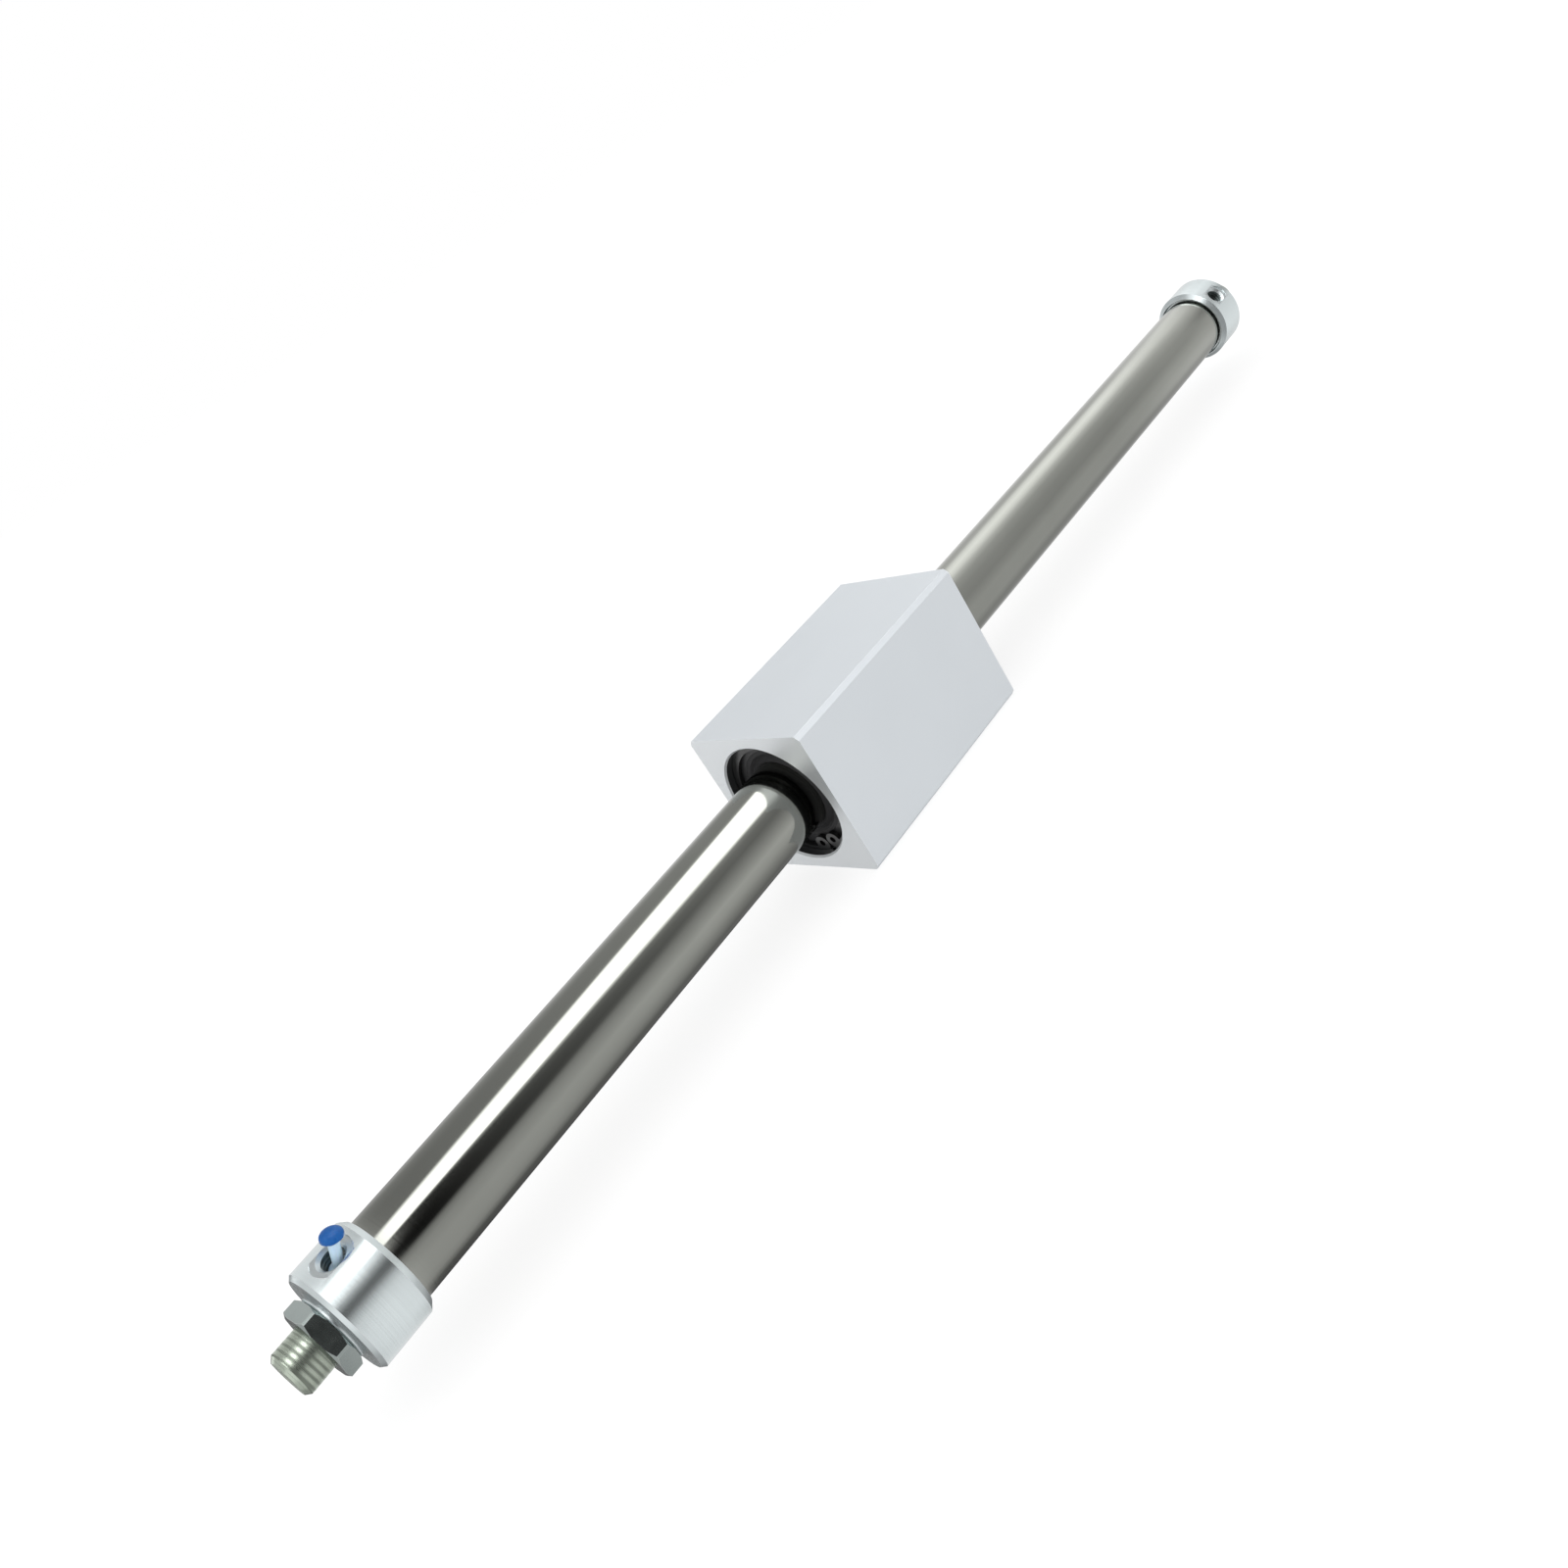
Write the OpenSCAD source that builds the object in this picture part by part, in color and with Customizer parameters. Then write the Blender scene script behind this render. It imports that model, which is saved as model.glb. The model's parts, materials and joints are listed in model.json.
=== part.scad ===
// Rodless cylinder with a magnetically coupled slider.
// X runs along the tube, from the plugged front end to the rear end.
// Z is square to the slider's upper face, and the origin is on the tube's axis at its mid-length.
// Angles around the tube are measured about +X from +Y towards +Z.

/* [Travel] */
// Stroke of the cylinder, which sets the length of its tube
stroke = 250; // [100:1:500]
// Where the slider's centre stands
slider_x = -21; // [-50:1:50]

/* [Tube] */
// Outer diameter of the tube
tube_od = 17.5; // [17.2:0.1:17.7]
// Bore of the tube, in which the piston runs
tube_bore = 15; // [14.8:0.1:15.2]
// Length of each tube end inside its cover
tube_socket = 3; // [2.8:0.1:3.2]

/* [Head covers] */
// Diameter of the head covers
cover_od = 21.2; // [21.2:0.1:24]
// Length of each cover without its nose
cover_len = 11.5; // [11:0.1:15]
// Chamfer at the tube end of a cover
cover_chamfer_tube = 1.1; // [0.4:0.1:1.1]
// Chamfer at the nose end of a cover
cover_chamfer_nose = 0.7; // [0.3:0.1:1.2]
// Diameter of the pilot boss that centres a bracket
pilot_d = 13; // [11:0.5:14]
// Height of the pilot boss
pilot_h = 0.8; // [0.6:0.1:2]
// Diameter over the thread of the nose
nose_d = 8.8; // [8.8:0.1:9.9]
// Length of the nose with its pilot boss
nose_len = 9.5; // [9:0.1:14]

/* [Mounting nuts] */
// Width across the flats of a mounting nut
nut_flats = 13; // [12:0.5:14]
// Thickness of a mounting nut
nut_h = 3; // [2.5:0.5:4.5]
// Angle around the tube that one flat of each nut faces
nut_angle = 150; // [0:5:360]

/* [Air ports] */
// Tapping diameter of the port thread
port_d = 4.2; // [4:0.1:4.4]
// Depth of the port thread below its spot face
port_depth = 5; // [4:0.5:5.5]
// Angle around the tube that the front port faces
front_port_angle = 104; // [0:1:360]
// Angle around the tube that the rear port faces
rear_port_angle = 144; // [0:1:360]
// Lean of the soft plug towards the tube
plug_lean = 18; // [0:1:20]
// Diameter of the plug's head
plug_head_d = 3.9; // [3:0.1:4.5]

/* [Slider] */
// Length of the slider block
block_len = 58; // [56:0.5:60]
// Width and height of the slider block
block_w = 35; // [35:0.5:40]
// Chamfer along the block's four long edges
block_chamfer = 1; // [0.4:0.1:1.4]
// Chamfer round the block's two ends
end_chamfer = 0.4; // [0.2:0.1:1]
// Bore of the block round its magnets
block_bore = 27; // [26.6:0.1:27.4]
// Diameter of the recess at each mouth of the block
mouth_d = 29.4; // [29:0.1:29.8]
// Depth of that recess
mouth_depth = 8; // [7.6:0.1:8.4]
// Distance between mounting holes along the tube
hole_pitch_x = 35; // [25:1:42]
// Distance between mounting holes across the tube
hole_pitch_y = 19; // [19:1:26]
// Tapping diameter of a mounting hole
hole_d = 3.3; // [3:0.1:3.6]
// Depth of a mounting hole
hole_depth = 6; // [4:0.5:6]
// Angle around the tube that the gap of each snap ring faces
ring_gap_angle = 255; // [0:5:355]

/* [Magnets] */
// Number of magnets in the slider, and again in the piston
magnets = 4; // [4]
// Length of one magnet
magnet_len = 5; // [4.5:0.1:5]
// Length of one steel yoke
yoke_len = 3; // [2.5:0.1:3]

/* [Piston] */
// Length of each piston head
piston_head_len = 15; // [12:0.5:16]
// Diameter of the piston shaft
shaft_d = 5; // [4:0.5:5]

/* [Hidden] */
$fn = 96;
cut = 0.01; // overlap that lets a cut pass a face
slip = 0.03; // radial clearance of a guiding fit
seat = 0.05; // radial clearance of a fixed fit

function names(stem, count) = [for (i = [1:count]) str(stem, "_", i)];

// Colours
satin = "#d2d8dc";
steel = "#8f918a";
zinc = "#a2aaa4";
black_rubber = "#1b1b1d";
black_resin = "#26272a";
magnet_grey = "#6d7076";
yoke_grey = "#84888c";
plug_blue = "#0f4699";

// Lengths along the tube
stack_len = magnets * magnet_len + (magnets + 1) * yoke_len;
piston_len = stack_len + 2 * piston_head_len;
bumper_reach = 3.8; // from a cover's tube-side face to where its bumper ends
stop_gap = 0.2; // space that the piston keeps from a bumper at each end of its stroke
tube_shown = stroke + piston_len + 2 * (bumper_reach + stop_gap); // tube between the covers

// Head cover, with x = 0 at its tube-side face and the nose towards -X
spigot_d = tube_bore - 0.2;
spigot_reach = 2; // how far the spigot stands out of the cover into the tube
collar_reach = 3; // where the collar that holds the bumper ends
collar_d = 8;
entry_w = 0.6; // the glue recess round the tube, at the cover's face
entry_floor_w = 0.2;
entry_depth = 1;
gasket_x = -1.8;
gasket_section = 1.4;
gasket_groove_w = 1.7;
gasket_floor_d = spigot_d - 2 * gasket_section + 0.16;
thread_root_d = nose_d - 1.1; // the thread's root, which is also the nut's bore
thread_clear = 0.35; // from the nut's outer face to where the open thread starts
nose_chamfer = 0.8;
passage_d = 3.6;
port_x = -cover_len / 2;
port_face_r = cover_od / 2 - 0.35; // distance of the port's spot face from the axis
port_spot_d = 7.4;
port_sink = 0.6;
port_feed_d = 2.4;

// Mounting nut
nut_gap = 0.1; // space between the pilot boss and the nut
nut_x = -cover_len - pilot_h - nut_gap - nut_h; // the nut's outer face, from the cover's tube side
nut_corner_d = nut_flats / cos(30) * 0.98;
nut_bevel = 0.7;

// Soft plug in the front port
plug_body_d = port_d - 2 * seat;
plug_foot_r = 5.6; // distance of the plug's foot from the axis
plug_body_len = 2;
plug_neck_d = 1.9;
plug_neck_len = 5.6;
plug_head_h = 1.7;

// Slider
groove_depth_x = 2.2; // from the block's face to the snap ring's groove
groove_w = 1.2;
groove_d = mouth_d + 1.6;
ring_h = 1;
holder_len = mouth_depth - groove_depth_x - groove_w;
holder_bore = 20;
scraper_d = 23.4;
scraper_len = 1.7;
retainer_len = (block_len - 2 * mouth_depth - stack_len) / 2;
slider_magnet_id = 18.4;

// Piston
piston_head_d = tube_bore - 0.4;
inner_magnet_d = 14;
inner_yoke_d = 14.4;
shaft_bore = shaft_d + 2 * seat;
nut_pocket_d = 10.6;
nut_pocket_h = 4.2;
shaft_nut_flats = 8;
shaft_nut_h = 3.2;
seal_floor_d = 10.6;
seal_w = 2.2;
seal_x = 3.2; // from the piston's inner face to the seal's groove
wear_floor_d = 13;
wear_w = 3;
wear_x = 7.4; // from the piston's inner face to the wear ring's groove

// A turned piece about X, from a profile of [radius, x] points
module turned(profile) {
    rotate([0, 90, 0]) rotate_extrude() polygon(profile);
}

// A cylinder along X from x to x + len
module bar(x, len, d) {
    translate([x, 0, 0]) rotate([0, 90, 0]) cylinder(d = d, h = len);
}

// A plain ring along X from x to x + len
module ring(x, len, od, id) {
    difference() {
        bar(x, len, od);
        bar(x - cut, len + 2 * cut, id);
    }
}

// A hexagon along X with one flat square to +Z
module hex_bar(x, len, flats) {
    translate([x, 0, 0]) rotate([0, 90, 0]) rotate(30) cylinder(d = flats / cos(30), h = len, $fn = 6);
}

// Turns +Z to an angle around the tube
module facing(angle) {
    rotate([angle - 90, 0, 0]) children();
}

// Puts a front-end piece at the front end of the tube, or its mirror image at the rear
module at_front() {
    translate([-tube_shown / 2, 0, 0]) children();
}

module at_rear() {
    mirror([1, 0, 0]) at_front() children();
}

// Carries the children to the slider's place
module at_slider() {
    translate([slider_x, 0, 0]) children();
}

// Tube and head covers

module cylinder_tube() {
    len = tube_shown + 2 * tube_socket;
    ease = 0.3;
    color(steel) turned([
        [tube_bore / 2, -len / 2], [tube_od / 2 - ease, -len / 2], [tube_od / 2, -len / 2 + ease],
        [tube_od / 2, len / 2 - ease], [tube_od / 2 - ease, len / 2], [tube_bore / 2, len / 2]
    ]);
}

// Outer form: spigot inside the tube, glue recess, chamfered body, pilot boss and nose.
// Under the nut the nose has the thread's root diameter, so the two solids meet there as threads do.
module cover_solid() {
    body_r = cover_od / 2;
    nose_end = -cover_len - nose_len;
    pilot_end = -cover_len - pilot_h;
    turned([
        [0, nose_end], [nose_d / 2 - nose_chamfer, nose_end], [nose_d / 2, nose_end + nose_chamfer],
        [nose_d / 2, nut_x - thread_clear], [thread_root_d / 2, nut_x - cut],
        [thread_root_d / 2, pilot_end], [pilot_d / 2 - 0.2, pilot_end], [pilot_d / 2, pilot_end + 0.2],
        [pilot_d / 2, -cover_len], [body_r - cover_chamfer_nose, -cover_len],
        [body_r, -cover_len + cover_chamfer_nose], [body_r, -cover_chamfer_tube],
        [body_r - cover_chamfer_tube, 0], [tube_od / 2 + entry_w, 0],
        [tube_od / 2 + entry_floor_w, -entry_depth], [tube_od / 2, -entry_depth], [tube_od / 2, -tube_socket],
        [spigot_d / 2, -tube_socket], [spigot_d / 2, spigot_reach - 0.4],
        [spigot_d / 2 - 0.4, spigot_reach], [collar_d / 2, spigot_reach],
        [collar_d / 2, collar_reach], [0, collar_reach]
    ]);
}

// Spot face, countersunk thread and feed hole of an air port, with the axis along +Z
module port_cut() {
    translate([0, 0, port_face_r]) cylinder(d = port_spot_d, h = 2);
    translate([0, 0, port_face_r - port_depth]) cylinder(d = port_d, h = port_depth + cut);
    translate([0, 0, port_face_r - port_sink])
        cylinder(d1 = port_d, d2 = port_d + 2 * port_sink, h = port_sink + cut);
    cylinder(d = port_feed_d, h = port_face_r - port_depth + cut);
}

module head_cover(port_angle) {
    difference() {
        cover_solid();
        ring(gasket_x - gasket_groove_w / 2, gasket_groove_w, spigot_d + 0.1, gasket_floor_d);
        bar(port_x - passage_d / 2, collar_reach - port_x + passage_d, passage_d);
        translate([port_x, 0, 0]) facing(port_angle) port_cut();
    }
}

module front_head_cover() {
    color(satin) at_front() head_cover(front_port_angle);
}

module rear_head_cover() {
    color(satin) at_rear() head_cover(rear_port_angle);
}

// Bevelled hexagon nut, tapped for the nose
module mounting_nut() {
    x = nut_x;
    corner_r = nut_corner_d / 2;
    difference() {
        intersection() {
            facing(nut_angle) hex_bar(x, nut_h, nut_flats);
            turned([
                [0, x], [corner_r - nut_bevel, x], [corner_r, x + nut_bevel * 0.6],
                [corner_r, x + nut_h - nut_bevel * 0.6], [corner_r - nut_bevel, x + nut_h], [0, x + nut_h]
            ]);
        }
        bar(x - cut, nut_h + 2 * cut, thread_root_d);
        translate([x - cut, 0, 0]) rotate([0, 90, 0])
            cylinder(d1 = nose_d + 0.4, d2 = thread_root_d, h = (nose_d + 0.4 - thread_root_d) / 2);
    }
}

module front_mounting_nut() {
    color(zinc) at_front() mounting_nut();
}

module rear_mounting_nut() {
    color(zinc) at_rear() mounting_nut();
}

// Round sealing ring in the spigot's groove
module tube_gasket() {
    r = gasket_section / 2;
    translate([gasket_x, 0, 0]) rotate([0, 90, 0]) rotate_extrude()
        translate([gasket_floor_d / 2 + r, 0]) circle(r = r, $fn = 48);
}

module front_tube_gasket() {
    color(black_rubber) at_front() tube_gasket();
}

module rear_tube_gasket() {
    color(black_rubber) at_rear() tube_gasket();
}

// Cushion that the piston stops on, round the spigot's collar
module bumper() {
    od = tube_bore - 1.6;
    turned([
        [collar_d / 2, spigot_reach], [od / 2, spigot_reach], [od / 2, bumper_reach - 0.5],
        [od / 2 - 0.5, bumper_reach], [collar_d / 2 + 0.5, bumper_reach], [collar_d / 2, bumper_reach - 0.5]
    ]);
}

module front_bumper() {
    color(black_rubber) at_front() bumper();
}

module rear_bumper() {
    color(black_rubber) at_rear() bumper();
}

// Soft transit plug: ribbed body in the thread, leaning neck and a domed head
module plug_body() {
    ribs = 3;
    pitch = plug_body_len / ribs;
    rib_r = plug_body_d / 2;
    rotate_extrude() polygon(concat(
        [[0, 0]],
        [for (i = [0:ribs - 1]) each [[rib_r - 0.25, i * pitch], [rib_r, (i + 0.5) * pitch]]],
        [[rib_r - 0.25, plug_body_len], [0, plug_body_len]]));
}

module plug_head() {
    head_r = plug_head_d / 2;
    neck_r = plug_neck_d / 2;
    dome = [for (a = [0:15:90]) [head_r * cos(a), plug_neck_len + plug_head_h * 0.35 + plug_head_h * 0.65 * sin(a)]];
    rotate_extrude() polygon(concat(
        [[0, -0.4], [neck_r, -0.4], [neck_r, plug_neck_len - 0.6], [head_r * 0.8, plug_neck_len]],
        [[head_r, plug_neck_len + plug_head_h * 0.15]],
        dome));
}

module port_plug() {
    color(plug_blue) at_front() translate([port_x, 0, 0]) facing(front_port_angle)
        translate([0, 0, plug_foot_r]) {
            plug_body();
            translate([0, 0, plug_body_len - 0.3]) rotate([0, plug_lean, 0]) plug_head();
        }
}

// Piston

module piston_shaft() {
    half = stack_len / 2 + piston_head_len - 0.6;
    ease = 0.5;
    color(zinc) at_slider() turned([
        [0, -half], [shaft_d / 2 - ease, -half], [shaft_d / 2, -half + ease],
        [shaft_d / 2, half - ease], [shaft_d / 2 - ease, half], [0, half]
    ]);
}

// Places a piece at the front or rear end of the magnet stack, with x = 0 on the piston's inner face
module at_piston_front() {
    at_slider() mirror([1, 0, 0]) translate([stack_len / 2, 0, 0]) children();
}

module at_piston_rear() {
    at_slider() translate([stack_len / 2, 0, 0]) children();
}

module piston_head() {
    r = piston_head_d / 2;
    difference() {
        turned([
            [0, 0], [r, 0], [r, wear_x + wear_w + 0.6], [r - 0.6, piston_head_len], [0, piston_head_len]
        ]);
        ring(seal_x, seal_w, piston_head_d + 1, seal_floor_d);
        ring(wear_x, wear_w, piston_head_d + 1, wear_floor_d);
        bar(-cut, piston_head_len + 2 * cut, shaft_bore);
        bar(piston_head_len - nut_pocket_h, nut_pocket_h + cut, nut_pocket_d);
    }
}

module front_piston() {
    color(satin) at_piston_front() piston_head();
}

module rear_piston() {
    color(satin) at_piston_rear() piston_head();
}

// Lip seal with its hollow side towards the end of the tube
module piston_seal() {
    gap = 0.1;
    root = seal_floor_d / 2 + 0.02;
    lip = tube_bore / 2 - slip;
    x0 = seal_x + gap;
    x1 = seal_x + seal_w - gap;
    turned([
        [root, x0], [lip - 0.5, x0], [lip, x1 - 0.5], [lip, x1 - 0.2], [lip - 0.4, x1],
        [(root + lip) / 2, x0 + 0.7], [root + 0.4, x1], [root, x1]
    ]);
}

module front_piston_seal() {
    color(black_rubber) at_piston_front() piston_seal();
}

module rear_piston_seal() {
    color(black_rubber) at_piston_rear() piston_seal();
}

// Split guide ring
module split_ring(x, len, od, id, slit) {
    difference() {
        ring(x, len, od, id);
        translate([x + len / 2, 0, 0]) rotate([0, 0, 35]) translate([0, 0, od / 2])
            cube([slit, od, od], center = true);
    }
}

module piston_wear_ring() {
    split_ring(wear_x + 0.1, wear_w - 0.2, tube_bore - 2 * slip, wear_floor_d + 0.1, 0.8);
}

module front_piston_wear_ring() {
    color(black_resin) at_piston_front() piston_wear_ring();
}

module rear_piston_wear_ring() {
    color(black_resin) at_piston_rear() piston_wear_ring();
}

module piston_nut() {
    x = piston_head_len - nut_pocket_h;
    difference() {
        hex_bar(x, shaft_nut_h, shaft_nut_flats);
        bar(x - cut, shaft_nut_h + 2 * cut, shaft_d);
    }
}

module front_piston_nut() {
    color(zinc) at_piston_front() piston_nut();
}

module rear_piston_nut() {
    color(zinc) at_piston_rear() piston_nut();
}

// Magnet and yoke stacks, numbered from the front

function yoke_at(i) = -stack_len / 2 + (i - 1) * (magnet_len + yoke_len);
function magnet_at(i) = yoke_at(i) + yoke_len;

module piston_magnet(i) {
    color(magnet_grey) at_slider() ring(magnet_at(i), magnet_len, inner_magnet_d, shaft_bore);
}

module piston_yoke(i) {
    color(yoke_grey) at_slider() ring(yoke_at(i), yoke_len, inner_yoke_d, shaft_bore);
}

module slider_magnet(i) {
    color(magnet_grey) at_slider() ring(magnet_at(i), magnet_len, block_bore - 2 * seat, slider_magnet_id);
}

module slider_yoke(i) {
    color(yoke_grey) at_slider() ring(yoke_at(i), yoke_len, block_bore - 2 * seat, slider_magnet_id - 0.4);
}

// Slider

// Rectangle about the origin with its corners cut off by c
module cut_rectangle(w, h, c) {
    polygon([
        [-w / 2 + c, -h / 2], [w / 2 - c, -h / 2], [w / 2, -h / 2 + c], [w / 2, h / 2 - c],
        [w / 2 - c, h / 2], [-w / 2 + c, h / 2], [-w / 2, h / 2 - c], [-w / 2, -h / 2 + c]
    ]);
}

// Square bar with chamfers on all its edges
module chamfered_block() {
    intersection() {
        rotate([90, 0, 90]) linear_extrude(block_len, center = true)
            cut_rectangle(block_w, block_w, block_chamfer);
        for (turn = [0, 90]) rotate([turn, 0, 0]) linear_extrude(block_w, center = true)
            cut_rectangle(block_len, block_w, end_chamfer);
    }
}

// Recess, snap ring groove and eased edge at the block's front mouth
module mouth_cut() {
    ease = 0.4;
    face = -block_len / 2;
    bar(face - cut, mouth_depth + cut, mouth_d);
    bar(face + groove_depth_x, groove_w, groove_d);
    translate([face - cut, 0, 0]) rotate([0, 90, 0])
        cylinder(d1 = mouth_d + 2 * ease, d2 = mouth_d, h = ease + cut);
}

module mounting_hole() {
    translate([0, 0, -block_w / 2 - cut]) cylinder(d = hole_d, h = hole_depth + cut);
    translate([0, 0, -block_w / 2 - cut]) cylinder(d1 = hole_d + 0.8, d2 = hole_d, h = 0.4 + cut);
}

module slider_block() {
    color(satin) at_slider() difference() {
        chamfered_block();
        bar(-block_len / 2, block_len, block_bore);
        mouth_cut();
        mirror([1, 0, 0]) mouth_cut();
        for (sx = [-1, 1], sy = [-1, 1])
            translate([sx * hole_pitch_x / 2, sy * hole_pitch_y / 2, 0]) mounting_hole();
    }
}

// Puts a piece at a mouth of the block, with x = 0 on the block's face and +X into the block
module at_mouth_front() {
    at_slider() translate([-block_len / 2, 0, 0]) children();
}

module at_mouth_rear() {
    at_slider() mirror([1, 0, 0]) translate([-block_len / 2, 0, 0]) children();
}

// Oiled felt ring beside the magnets
module lube_retainer() {
    ring(mouth_depth, retainer_len, block_bore - 2 * seat, tube_od + 2 * slip);
}

module front_lube_retainer() {
    color("#c9bfa3") at_mouth_front() lube_retainer();
}

module rear_lube_retainer() {
    color("#c9bfa3") at_mouth_rear() lube_retainer();
}

// Ring in the mouth that carries the wear ring and the scraper
module bearing_holder() {
    x = mouth_depth - holder_len;
    difference() {
        ring(x, holder_len, mouth_d - 2 * seat, holder_bore);
        bar(x - cut, scraper_len + cut, scraper_d);
    }
}

module front_bearing_holder() {
    color(black_resin) at_mouth_front() bearing_holder();
}

module rear_bearing_holder() {
    color(black_resin) at_mouth_rear() bearing_holder();
}

module slider_wear_ring() {
    x = mouth_depth - holder_len + scraper_len;
    ring(x, mouth_depth - x, holder_bore, tube_od + 2 * slip);
}

module front_slider_wear_ring() {
    color("#3a3b3e") at_mouth_front() slider_wear_ring();
}

module rear_slider_wear_ring() {
    color("#3a3b3e") at_mouth_rear() slider_wear_ring();
}

// Wiper with a lip that points out of the block
module scraper() {
    x = mouth_depth - holder_len;
    lip = tube_od / 2 + slip;
    turned([
        [lip + 0.9, x + scraper_len], [scraper_d / 2 - seat, x + scraper_len], [scraper_d / 2 - seat, x],
        [lip + 2, x], [lip + 1.4, x + 0.4], [lip + 0.4, x - 0.5], [lip, x - 0.3], [lip + 0.2, x + 0.6]
    ]);
}

module front_scraper() {
    color(black_rubber) at_mouth_front() scraper();
}

module rear_scraper() {
    color(black_rubber) at_mouth_rear() scraper();
}

// Snap ring for a bore: the inner edge is off centre, and the open ends carry eyed lugs
module snap_ring() {
    outer_r = groove_d / 2 - 0.1;
    inner_r = outer_r - 2;
    offset_z = 0.5;
    lug_r = 1.9;
    lug_out = outer_r - lug_r - 0.3;
    lug_turn = 9;
    eye_d = 1.5;
    mouth_turn = 5;
    x = groove_depth_x + (groove_w - ring_h) / 2;
    translate([x, 0, 0]) facing(ring_gap_angle) rotate([90, 0, 90]) linear_extrude(ring_h) difference() {
        union() {
            difference() {
                circle(r = outer_r);
                translate([0, offset_z]) circle(r = inner_r);
                polygon([[0, 0], [-40 * sin(mouth_turn), 40], [40 * sin(mouth_turn), 40]]);
            }
            for (s = [-1, 1]) rotate(s * lug_turn) translate([0, lug_out]) circle(r = lug_r);
        }
        for (s = [-1, 1]) rotate(s * lug_turn) translate([0, lug_out - 0.2]) circle(d = eye_d);
    }
}

module front_snap_ring() {
    color(zinc) at_mouth_front() snap_ring();
}

module rear_snap_ring() {
    color(zinc) at_mouth_rear() snap_ring();
}

cylinder_tube();
front_head_cover();
rear_head_cover();
front_mounting_nut();
rear_mounting_nut();
front_tube_gasket();
rear_tube_gasket();
front_bumper();
rear_bumper();
port_plug();
piston_shaft();
front_piston();
rear_piston();
front_piston_seal();
rear_piston_seal();
front_piston_wear_ring();
rear_piston_wear_ring();
front_piston_nut();
rear_piston_nut();
for (i = [1:magnets]) {
    piston_magnet(i);
    slider_magnet(i);
}
for (i = [1:magnets + 1]) {
    piston_yoke(i);
    slider_yoke(i);
}
slider_block();
front_lube_retainer();
rear_lube_retainer();
front_bearing_holder();
rear_bearing_holder();
front_slider_wear_ring();
rear_slider_wear_ring();
front_scraper();
rear_scraper();
front_snap_ring();
rear_snap_ring();
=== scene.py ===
"""Finish of a magnetically coupled rodless cylinder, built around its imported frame."""

import json
import math

import bmesh
import bpy
from mathutils import Matrix, Quaternion, Vector


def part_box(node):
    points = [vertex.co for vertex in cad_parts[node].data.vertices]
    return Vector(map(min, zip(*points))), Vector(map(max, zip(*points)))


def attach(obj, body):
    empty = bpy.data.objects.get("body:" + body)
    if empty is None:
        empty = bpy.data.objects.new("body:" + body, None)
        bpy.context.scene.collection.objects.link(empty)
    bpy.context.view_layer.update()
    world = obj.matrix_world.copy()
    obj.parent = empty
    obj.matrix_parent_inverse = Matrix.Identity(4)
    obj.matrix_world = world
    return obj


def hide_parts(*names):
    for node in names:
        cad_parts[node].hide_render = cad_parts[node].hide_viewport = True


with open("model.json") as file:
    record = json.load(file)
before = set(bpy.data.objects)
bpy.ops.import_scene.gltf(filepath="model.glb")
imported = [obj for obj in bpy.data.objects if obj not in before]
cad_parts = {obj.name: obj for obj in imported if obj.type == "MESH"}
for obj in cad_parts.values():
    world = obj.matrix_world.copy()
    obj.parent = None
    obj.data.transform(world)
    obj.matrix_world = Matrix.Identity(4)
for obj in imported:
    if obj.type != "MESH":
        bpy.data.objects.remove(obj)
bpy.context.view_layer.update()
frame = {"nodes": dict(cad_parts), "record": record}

MM = 0.001

# Threads: diameters at the root and at the crest, and pitch, in millimetres.
# The plain walls of the frame lie at the crests
NOSE_THREAD = {"root": 8.75, "crest": 8.8, "pitch": 1.0}
PORT_THREAD = {"root": 5.0, "crest": 4.2, "pitch": 0.8}
HOLE_THREAD = {"root": 4.0, "crest": 3.3, "pitch": 0.7}

# Head covers, in millimetres, and the way their ports face, in degrees from +Y towards +Z
COVER_RADIUS = 10.6
COLLAR_REACH = 3  # from a cover's tube-side face to the end of the collar that holds its bumper
NOSE_CHAMFER = 0.8
NOSE_CORE_RADIUS = 3.6  # where the end chamfer meets the end face
PORT_ANGLES = {"front_head_cover": 104, "rear_head_cover": 144}
PORT_FROM_TUBE_SIDE = 5.75
PORT_DEPTH = 5  # below the spot face
PORT_SINK_DEPTH = 0.6
PORT_SINK_RADIUS = 2.75
SPOT_DEPTH = 0.35
SPOT_RADIUS = 3.75

# Mounting holes of the slider block, in millimetres
HOLE_DEPTH = 6
HOLE_SINK_DEPTH = 0.4
HOLE_PLACES = (17.5, 9.5)  # from the block's middle, along X and Y

# How near a face has to lie to a wall to count as part of it, in millimetres. Then shares of a face's
# normal along an axis: over the first it is a spot face, under the second the cone of a countersink, and
# over the third an end face that a thread leaves alone
WALL_SLACK = 0.03
FACE_SLACK = 0.05
LEVEL_SHARE = 0.99
SUNK_SHARE = 0.85
ACROSS_SHARE = 0.9

# The floor lies under the slider's lower face
FLOOR_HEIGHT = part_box("slider_block")[0].z


# Camera

CAMERA_PLACE = Vector((-195.75, -227.21, 131.16)) * MM
CAMERA_HEADING = 39.174
CAMERA_PITCH = -20.541
CAMERA_ROLL = -30.865
CAMERA_LENS = 32.625
CAMERA_SHIFT = (-0.03387, -0.11009)


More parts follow.
